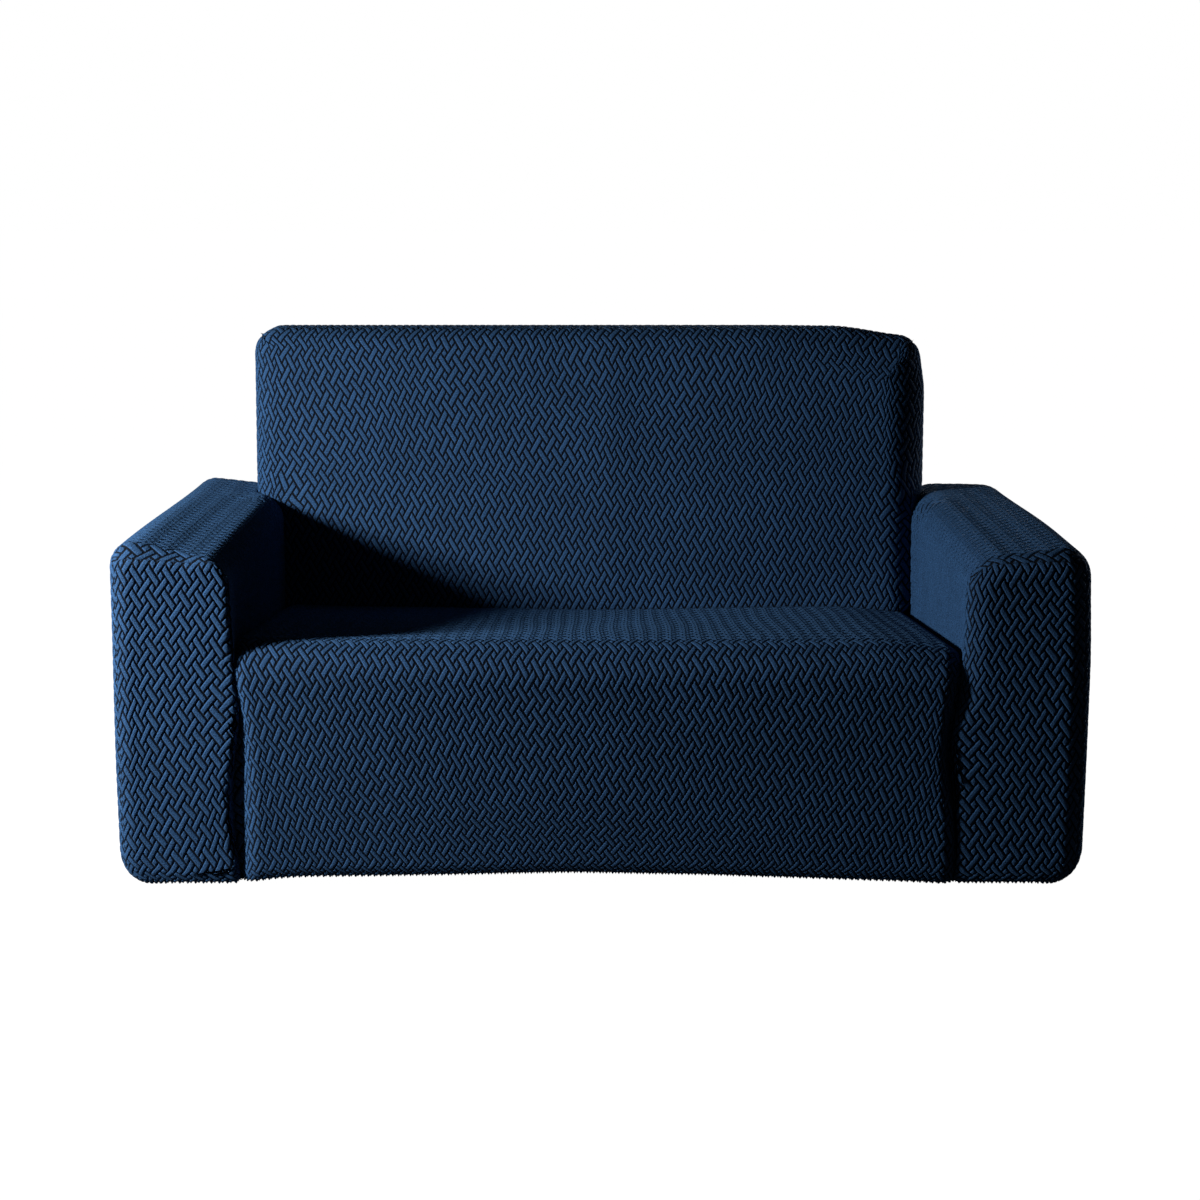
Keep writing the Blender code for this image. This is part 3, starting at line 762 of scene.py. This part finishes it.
repeat = np.linspace(0.0, 4.0, 99)
heights = basket(*np.meshgrid(repeat * BAR_ACROSS, repeat * BAR_UP))[0]
print(f"the relief's heights run from {heights.min():.2f} to {heights.max():.2f}")


# %% [markdown]
# ## From grids to meshes
# The relief lifts each point along the normal. At a seam the last line sinks a little and
# one more line goes straight in, as the seam allowance does. At the hem the cloth is
# gathered into scallops, turns under and runs back up inside. Each cell is split along its
# lower diagonal, so that grooves stay sharp. The mesh also carries what the finish needs:
# the place on the flat cloth, the bare form's direction, and where a plain strand is.

# %% Building one panel, in metres
RELIEF = 0.0028
SEAM_SINK = 0.0012
ALLOWANCE = 0.005
SCALLOP = 0.0018
HEM_ROLL = 0.0022
HEM_LAP = 5


def steps_to_edge(kept):
    """For each grid point, how many lines away the panel's nearest edge is, up to 8."""
    cells = np.pad(kept, 1)
    level = cells[:-1, :-1] & cells[:-1, 1:] & cells[1:, :-1] & cells[1:, 1:]
    steps = np.zeros(level.shape)
    for _ in range(8):
        steps += level
        grown = np.pad(level, 1)
        level = level & grown[:-2, 1:-1] & grown[2:, 1:-1]
        level &= grown[1:-1, :-2] & grown[1:-1, 2:]
    return steps


def cell_corners(kept):
    """Numbers of each kept cell's four corners, in order round the cell."""
    rows, columns = np.nonzero(kept)
    wide = kept.shape[1] + 1
    first = rows * wide + columns
    return np.stack([first, first + 1, first + 1 + wide, first + wide], axis=1)


def split_cells(cells, height):
    """Two triangles for each cell, with the edge between them along its lower diagonal."""
    a, b, c, d = cells.T
    falls = height[a] + height[c] <= height[b] + height[d]
    first = np.where(falls, [a, b, c], [a, b, d])
    second = np.where(falls, [a, c, d], [b, c, d])
    return np.concatenate([first.T, second.T])


def edges_of(cells, skip_below):
    """Directed cell edges that no other cell shares, apart from those of the hem's own lap."""
    edges = np.concatenate([cells[:, [n, (n + 1) % 4]] for n in range(4)])
    many = int(cells.max()) + 1
    a, b = edges.T
    alone = ~np.isin(a * many + b, b * many + a)
    return edges[alone & (edges >= skip_below).any(axis=1)]


def with_hem(points, normals, rows):
    """Puts the turned hem before the first line: a small roll under, then a lap up inside.

    The roll is half a circle round a centre one radius inside the first line. The lap
    repeats the first lines two radii further in.
    """
    down = unit(points[0] - points[1])
    centre = points[0] - HEM_ROLL * normals[0]
    angles = np.radians((135.0, 90.0, 45.0))[:, None, None]
    roll = np.cos(angles) * normals[0] + np.sin(angles) * down
    lap = (points[: rows + 1] - 2.0 * HEM_ROLL * normals[: rows + 1])[::-1]
    facing = np.concatenate([-normals[: rows + 1][::-1], roll, normals])
    return np.concatenate([lap, centre + HEM_ROLL * roll, points]), facing


def doubled_areas(points, triangles):
    """Twice the area of each triangle: the length of its two sides' cross product."""
    corner = points[triangles]
    cross = np.cross(corner[:, 1] - corner[:, 0], corner[:, 2] - corner[:, 0])
    return np.linalg.norm(cross, axis=1)


def mesh_from(name, triangles, points, flat, plain, facing):
    """Mesh with each point's place on the flat cloth, its share of plain yarn and its facing.

    Triangles without area, which cut rows leave, are left out.
    """
    triangles = triangles[doubled_areas(points, triangles) > 1e-11]
    used, numbers = np.unique(triangles, return_inverse=True)
    mesh = bpy.data.meshes.new(name)
    mesh.vertices.add(len(used))
    mesh.vertices.foreach_set("co", points[used].astype(np.float32).ravel())
    mesh.loops.add(triangles.size)
    mesh.loops.foreach_set("vertex_index", numbers.astype(np.int32).ravel())
    mesh.polygons.add(len(triangles))
    mesh.polygons.foreach_set("loop_start", np.arange(0, triangles.size, 3, dtype=np.int32))
    mesh.update(calc_edges=True)
    layer = mesh.uv_layers.new(name="flat_cloth")
    layer.uv.foreach_set("vector", flat[used][numbers.ravel()].astype(np.float32).ravel())
    share = mesh.attributes.new("plain", "FLOAT", "POINT")
    share.data.foreach_set("value", plain[used].astype(np.float32))
    way = mesh.attributes.new("facing", "FLOAT_VECTOR", "POINT")
    way.data.foreach_set("vector", facing[used].astype(np.float32).ravel())
    mesh.shade_smooth()
    mesh.validate()
    return mesh


def relief_lift(spec, grid, p, q, height):
    """How far each point rises: the relief, scallops at the hem and a dip at sewn edges."""
    finer, kept = spec.finer, grid.kept
    more = 9 * finer if spec.hem else 0
    steps = steps_to_edge(np.vstack([kept[:1].repeat(more, 0), kept]))[more:] / finer
    sunk = steps == 0
    stops_u, stops_v = grid.stops
    for (u0, u1), (v0, v1), _ in spec.creases:
        rows = slice(stops_v[v0], stops_v[v1] + 1)
        sunk[rows, stops_u[u0] : stops_u[u1] + 1] = False
        if u0 == u1:
            line = grid.u[rows, stops_u[u0]][:, None]
            sunk[rows] &= np.abs(grid.u[rows] - line) > 1e-9
    if spec.flush:
        sunk &= np.abs(grid.numbers - np.arange(kept.shape[1] + 1)) < 1e-9
    lift = RELIEF * (height - 0.5) * ease(steps, 0.0, 2.0) - SEAM_SINK * sunk
    if spec.hem:
        wave = np.cos(2.0 * math.pi * p / BAR_ACROSS)
        lift = lift + SCALLOP * wave * (1.0 - ease(q, 0.0, 0.018))
    return lift


def strand(points, normals, path, radius):
    """A thin tube along a path on the cloth's face, partly sunk into it.

    The path waves by 0.7 mm, and each ring sits at the nearest grid point in front. Its
    radius is the full one times (1 - (2 s - 1)^6), so that both ends close. Returns points,
    triangles and outward directions.
    """
    length = running_total(np.linalg.norm(np.diff(path), axis=0))
    s = np.linspace(0.0, length[-1], max(6, int(length[-1] / 0.0015)))
    x = np.interp(s, length, path[0]) + 0.0007 * np.sin(s / 0.0031 + 40.0 * radius)
    z = np.interp(s, length, path[1])
    gaps = ((points[..., [0, 2]] - np.stack([x, z], axis=-1)[:, None]) ** 2).sum(axis=-1)
    near = (gaps + 0.001 * np.maximum(points[:, 1] + 0.43, 0.0)).argmin(axis=1)
    out = normals[near]
    y = np.convolve(np.pad(points[near, 1], 3, "edge"), np.ones(7) / 7.0, "valid")
    full = radius * (0.8 + 0.2 * np.sin(s / 0.0024)) * (1.0 - np.abs(2.0 * s / s[-1] - 1.0) ** 6)
    centre = np.stack([x, y, z], axis=-1) + (0.5 * radius + 0.0008) * out
    along = unit(np.gradient(centre, axis=0))
    side = np.cross(along, out)
    angles = np.linspace(0.0, 2.0 * math.pi, 8, endpoint=False)[None, :, None]
    ring = np.cos(angles) * side[:, None] + np.sin(angles) * np.cross(side, along)[:, None]
    tube = centre[:, None] + full[:, None, None] * ring
    turns = np.arange(8)
    first = np.arange(len(s) - 1)[:, None] * 8 + turns
    after = first - turns + (turns + 1) % 8
    quads = np.stack([first, after, after + 8, first + 8], axis=-1).reshape(-1, 4)
    faces = np.concatenate([quads[:, [0, 1, 2]], quads[:, [0, 2, 3]]])
    return tube.reshape(-1, 3), faces, ring.reshape(-1, 3)


def panel_mesh(name, spec):
    """Builds one panel's mesh. Returns it with the panel's flat width, length and area."""
    finer, grid = spec.finer, cloth_grid(spec)
    points, kept = grid.points, grid.kept
    normals = unit(np.cross(np.gradient(points, axis=1), np.gradient(points, axis=0)))
    normals = np.take_along_axis(normals, grid.columns[..., None], axis=1)
    outward = (normals * slope_of(spec.own, points)).sum(axis=-1)[kept.shape[0] // 2]
    facing = math.copysign(1.0, float(np.median(outward[np.abs(outward) > 0.5])))
    normals = normals * facing
    p = grid.numbers / finer * 0.5 * BAR_ACROSS
    q = np.arange(kept.shape[0] + 1)[:, None] / finer * 0.5 * BAR_UP + 0.0 * p
    height = basket(p, q)[0]
    lifted = points + relief_lift(spec, grid, p, q, height)[..., None] * normals
    face_points, face_normals = lifted.reshape(-1, 3), normals.reshape(-1, 3)
    flat = np.stack([p, q], axis=-1)
    skip = 0
    if spec.hem:
        lap = HEM_LAP * finer
        lifted, normals = with_hem(lifted, normals, lap)
        added = lap + 4
        under = flat[:1] - np.array([0.0, 0.0002]) * np.arange(added, 0, -1)[:, None, None]
        flat = np.concatenate([under, flat])
        height = np.concatenate([np.zeros((added, height.shape[1])), height])
        kept = np.concatenate([kept[:1].repeat(added, 0), kept])
        skip = kept.shape[1] + 1
    cells = cell_corners(kept)
    if facing < 0.0:
        cells = cells[:, ::-1]
    triangles = split_cells(cells, height.ravel())
    edges = edges_of(cells, skip)
    points = np.stack([lifted, lifted - ALLOWANCE * normals]).reshape(-1, 3)
    area = doubled_areas(points, triangles).sum() / 2.0
    count = lifted.size // 3
    a, b = edges.T
    strip = np.concatenate([np.stack([b, a, a + count]).T, np.stack([b, a + count, b + count]).T])
    triangles = np.concatenate([triangles, strip])
    layers = [points, np.stack([flat] * 2).reshape(-1, 2), np.zeros(len(points))]
    layers.append(np.stack([normals] * 2).reshape(-1, 3))
    for radius, *path in spec.strands:
        tube, faces, ways = strand(face_points, face_normals, path, radius)
        triangles = np.concatenate([triangles, faces + len(layers[0])])
        added = (tube, tube[:, [0, 2]], np.ones(len(tube)), ways)
        layers = [np.concatenate(pair) for pair in zip(layers, added)]
    mesh = mesh_from(name, triangles, *layers)
    width = np.ptp(grid.numbers, axis=1).max() * 0.5 * BAR_ACROSS / finer
    length = grid.kept.shape[0] * 0.5 * BAR_UP / finer
    return mesh, width, length, area


# %% Make the seven pieces
def placed(name, data):
    """A new object in the scene."""
    made = bpy.data.objects.new(name, data)
    bpy.context.scene.collection.objects.link(made)
    return made


pieces = []
for name, spec in PANELS.items():
    mesh, width, length, area = panel_mesh(name, spec)
    piece = placed(name + "_cloth", mesh)
    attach(piece, "root")
    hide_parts(name)
    pieces.append(piece)
    print(f"{name}: {len(mesh.polygons)} triangles, {width:.3f} x {length:.3f} m, {area:.3f} m2")
print("triangles in all:", sum(len(piece.data.polygons) for piece in pieces))


# %% [markdown]
# ## The cloth's finish
# The cloth is a matt, slightly fuzzy knit. The grid's points lie only on bars and in
# grooves, so its smooth shading would make the flat bars look round. The finish therefore
# starts from the bare form and works the same relief out again, finer, with painted
# near-black shade in the grooves and the mottled loops of the knit.

# %% A small kit for node trees
def add_node(tree, kind, settings=None, **inputs):
    """Adds a node and returns its outputs. A key names an input, or numbers it as n0 does."""
    made = tree.nodes.new(kind)
    for key, value in (settings or {}).items():
        setattr(made, key, value)
    for key, value in inputs.items():
        numbered = key[0] == "n" and key[1:].isdigit()
        socket = made.inputs[int(key[1:]) if numbered else key.replace("_", " ")]
        value = getattr(value, "socket", value)
        if isinstance(value, bpy.types.NodeSocket):
            tree.links.new(value, socket)
        else:
            socket.default_value = value
    return made.outputs


# Where a Math node's name isn't numpy's.
OPERATIONS = {
    "remainder": "FLOORED_MODULO", "rint": "ROUND", "less": "LESS_THAN", "greater": "GREATER_THAN"
}


class Value(np.lib.mixins.NDArrayOperatorsMixin):
    """A node's output in numpy's arithmetic: each operation adds a Math node to its tree."""

    def __init__(self, socket):
        self.socket = socket

    def __array_ufunc__(self, ufunc, method, *values):
        name = ufunc.__name__
        settings = {"operation": OPERATIONS.get(name, name.upper())}
        inputs = {f"n{place}": value for place, value in enumerate(values)}
        return Value(add_node(self.socket.id_data, "ShaderNodeMath", settings, **inputs)[0])


# Where a Mix node takes two colours in, and where it gives the result.
COLOURS = {"data_type": "RGBA", "first": 6, "result": 2}


def mixed(mask, one, zero, data_type="FLOAT", first=2, result=0):
    """A chooser of nodes: the first value where the mask is 1, the second where it is 0."""
    inputs = {"n0": mask, f"n{first}": zero, f"n{first + 1}": one}
    tree, settings = mask.socket.id_data, {"data_type": data_type}
    return Value(add_node(tree, "ShaderNodeMix", settings, **inputs)[result])


def new_material(name):
    """A fresh material, its node tree and its shader."""
    material = bpy.data.materials.new(name)
    material.use_nodes = True
    return material, material.node_tree, material.node_tree.nodes["Principled BSDF"]


# %% The relief as a node group
RELIEF_SOCKETS = (
    ("Place", "INPUT", "Vector"), ("Height", "OUTPUT", "Float"), ("Bar", "OUTPUT", "Float")
)


def basket_group():
    """The relief's height at a place on the flat cloth, and one random value per bar."""
    group = bpy.data.node_groups.new("basket_relief", "ShaderNodeTree")
    for title, in_out, kind in RELIEF_SOCKETS:
        group.interface.new_socket(title, in_out=in_out, socket_type="NodeSocket" + kind)
    given, out = group.nodes.new("NodeGroupInput"), group.nodes.new("NodeGroupOutput")
    place = add_node(group, "ShaderNodeSeparateXYZ", Vector=given.outputs["Place"])
    height, middle_i, middle_j = basket(Value(place["X"]), Value(place["Y"]), mixed)
    middle = add_node(group, "ShaderNodeCombineXYZ", X=middle_i, Y=middle_j)[0]
    settings = {"noise_dimensions": "2D"}
    noise = add_node(group, "ShaderNodeTexWhiteNoise", settings, Vector=middle)
    group.links.new(height.socket, out.inputs["Height"])
    group.links.new(noise["Value"], out.inputs["Bar"])
    return group


BASKET = basket_group()
print("relief group:", len(BASKET.nodes), "nodes")


# %% The cloth material
BLUE = (0.022, 0.066, 0.154)
# Painted shade: a near-black colour put in the grooves, where the bars' shadow falls.
PAINTED_GROOVE_SHADE = (0.0015, 0.003, 0.007, 1.0)
INSIDE = (0.018, 0.045, 0.095, 1.0)
LOOPS_PER_METRE = 460.0
LOOP_HEIGHT = 0.0011
PATCHES_PER_METRE = 9.0


def cloth_material():
    """Dark blue knit with painted near-black shade in its grooves and a plain blue inside.

    The blue is multiplied by values of loops, bar and patch. The bump is relief plus loops.
    """
    material, tree, shader = new_material("blue_stretch_knit")
    shader.inputs["Roughness"].default_value = 0.82
    shader.inputs["Specular IOR Level"].default_value = 0.12
    shader.inputs["Sheen Weight"].default_value = 0.10
    shader.inputs["Sheen Roughness"].default_value = 0.45
    shader.inputs["Sheen Tint"].default_value = (0.25, 0.55, 1.0, 1.0)

    def noise(**inputs):
        return Value(add_node(tree, "ShaderNodeTexNoise", Vector=flat, **inputs)["Fac"])

    def attribute(name, output):
        settings = {"attribute_name": name}
        return Value(add_node(tree, "ShaderNodeAttribute", settings)[output])

    flat = add_node(tree, "ShaderNodeUVMap", {"uv_map": "flat_cloth"})["UV"]
    relief = add_node(tree, "ShaderNodeGroup", {"node_tree": BASKET}, Place=flat)
    raised = np.maximum(Value(relief["Height"]), attribute("plain", "Fac"))
    loops = noise(Scale=LOOPS_PER_METRE, Detail=2.0, Roughness=0.7)
    patches = noise(Scale=PATCHES_PER_METRE, Detail=2.0)
    ends = {"From_Min": 0.3, "From_Max": 0.7, "To_Min": 0.35, "To_Max": 1.85}
    tone = Value(add_node(tree, "ShaderNodeMapRange", Value=loops, **ends)["Result"])
    level = tone * ((0.93 + 0.14 * Value(relief["Bar"])) * (0.85 + 0.3 * patches))
    scale = {"operation": "SCALE"}
    blue = add_node(tree, "ShaderNodeVectorMath", scale, n0=BLUE, Scale=level)[0]
    # The mask below is 0 in a groove and 1 on a bar: the grooves get the painted shade.
    smooth = {"interpolation_type": "SMOOTHSTEP"}
    ends = {"From_Min": 0.05, "From_Max": 0.60}
    lit = Value(add_node(tree, "ShaderNodeMapRange", smooth, Value=raised, **ends)["Result"])
    backside = Value(add_node(tree, "ShaderNodeNewGeometry")["Backfacing"])
    face = mixed(lit, blue, PAINTED_GROOVE_SHADE, **COLOURS)
    colour = mixed(backside, INSIDE, face, **COLOURS)
    tree.links.new(colour.socket, shader.inputs["Base Color"])
    height = raised * RELIEF + loops * LOOP_HEIGHT
    settings = {"vector_type": "NORMAL", "convert_from": "OBJECT", "convert_to": "WORLD"}
    facing = attribute("facing", "Vector")
    turned = add_node(tree, "ShaderNodeVectorTransform", settings, Vector=facing)[0]
    sign = 1.0 - 2.0 * backside
    shown = add_node(tree, "ShaderNodeVectorMath", scale, n0=turned, Scale=sign)[0]
    lengths = {"Strength": 1.0, "Distance": 1.0}
    bump = add_node(tree, "ShaderNodeBump", Height=height, Normal=shown, **lengths)
    tree.links.new(bump["Normal"], shader.inputs["Normal"])
    return material


cloth = cloth_material()
for piece in pieces:
    piece.data.materials.append(cloth)

# %% [markdown]
# ## Floor, light and camera
# A small lamp stands low at the front left, and the room gives little light, so that
# the relief throws shadows. Two more lamps show the rear and the right side. Floor and room
# look white, but both give back little light: it would fill the tucks and grooves.

# %% Stage
def plain_floor():
    """A wide floor just below the lowest hem: white to the camera, dark to other rays."""
    mesh = bpy.data.meshes.new("floor")
    corners = [(30 * x, 30 * y, -0.001) for x, y in ((-1, -1), (1, -1), (1, 1), (-1, 1))]
    mesh.from_pydata(corners, [], [(0, 1, 2, 3)])
    floor = placed("floor", mesh)
    material, tree, shader = new_material("pale_floor")
    shader.inputs["Base Color"].default_value = (0.06, 0.06, 0.06, 1.0)
    shader.inputs["Roughness"].default_value = 0.9
    shader.inputs["Emission Color"].default_value = (1.0, 1.0, 1.0, 1.0)
    path = add_node(tree, "ShaderNodeLightPath")
    tree.links.new(path["Is Camera Ray"], shader.inputs["Emission Strength"])
    mesh.materials.append(material)


def bright_room(seen, felt):
    """A plain world: its brightness for the camera and its lower light on the cloth."""
    world = bpy.context.scene.world = bpy.data.worlds.new("room")
    world.use_nodes = True
    tree = world.node_tree
    background = tree.nodes["Background"]
    background.inputs["Color"].default_value = (1.0, 1.0, 1.0, 1.0)
    path = Value(add_node(tree, "ShaderNodeLightPath")["Is Camera Ray"])
    tree.links.new((felt + (seen - felt) * path).socket, background.inputs["Strength"])


def lamp(name, place, target, size, power):
    """A square soft lamp that looks at a target."""
    data = bpy.data.lights.new(name, "AREA")
    data.shape = "SQUARE"
    data.size = size
    data.energy = power
    light = placed(name, data)
    way = np.subtract(target, place)
    light.location = place
    flat_way = math.hypot(way[0], way[1])
    light.rotation_euler = (math.atan2(flat_way, -way[2]), 0.0, math.atan2(-way[0], way[1]))


plain_floor()
bright_room(seen=1.0, felt=0.014)
lamp("key", (-1.85, -1.0, 1.02), (-0.3, 0.0, 0.5), 0.25, 54.0)
lamp("rear", (0.4, 3.2, 0.8), (0.0, 0.4, 0.4), 1.0, 36.0)
lamp("right", (2.5, 1.7, 0.6), (0.8, 0.2, 0.3), 0.8, 18.0)

camera_data = bpy.data.cameras.new("camera")
camera_data.lens = 67.86
camera_data.sensor_width = 36.0
camera = placed("camera", camera_data)
camera.location = (-0.0034, -3.998, 1.192)
camera.rotation_euler = (math.radians(90.0 - 11.27), 0.0, 0.0)
bpy.context.scene.camera = camera
bpy.context.scene.view_settings.view_transform = "Standard"

print("3 lamps, and a lens of", round(camera_data.lens, 2), "mm")
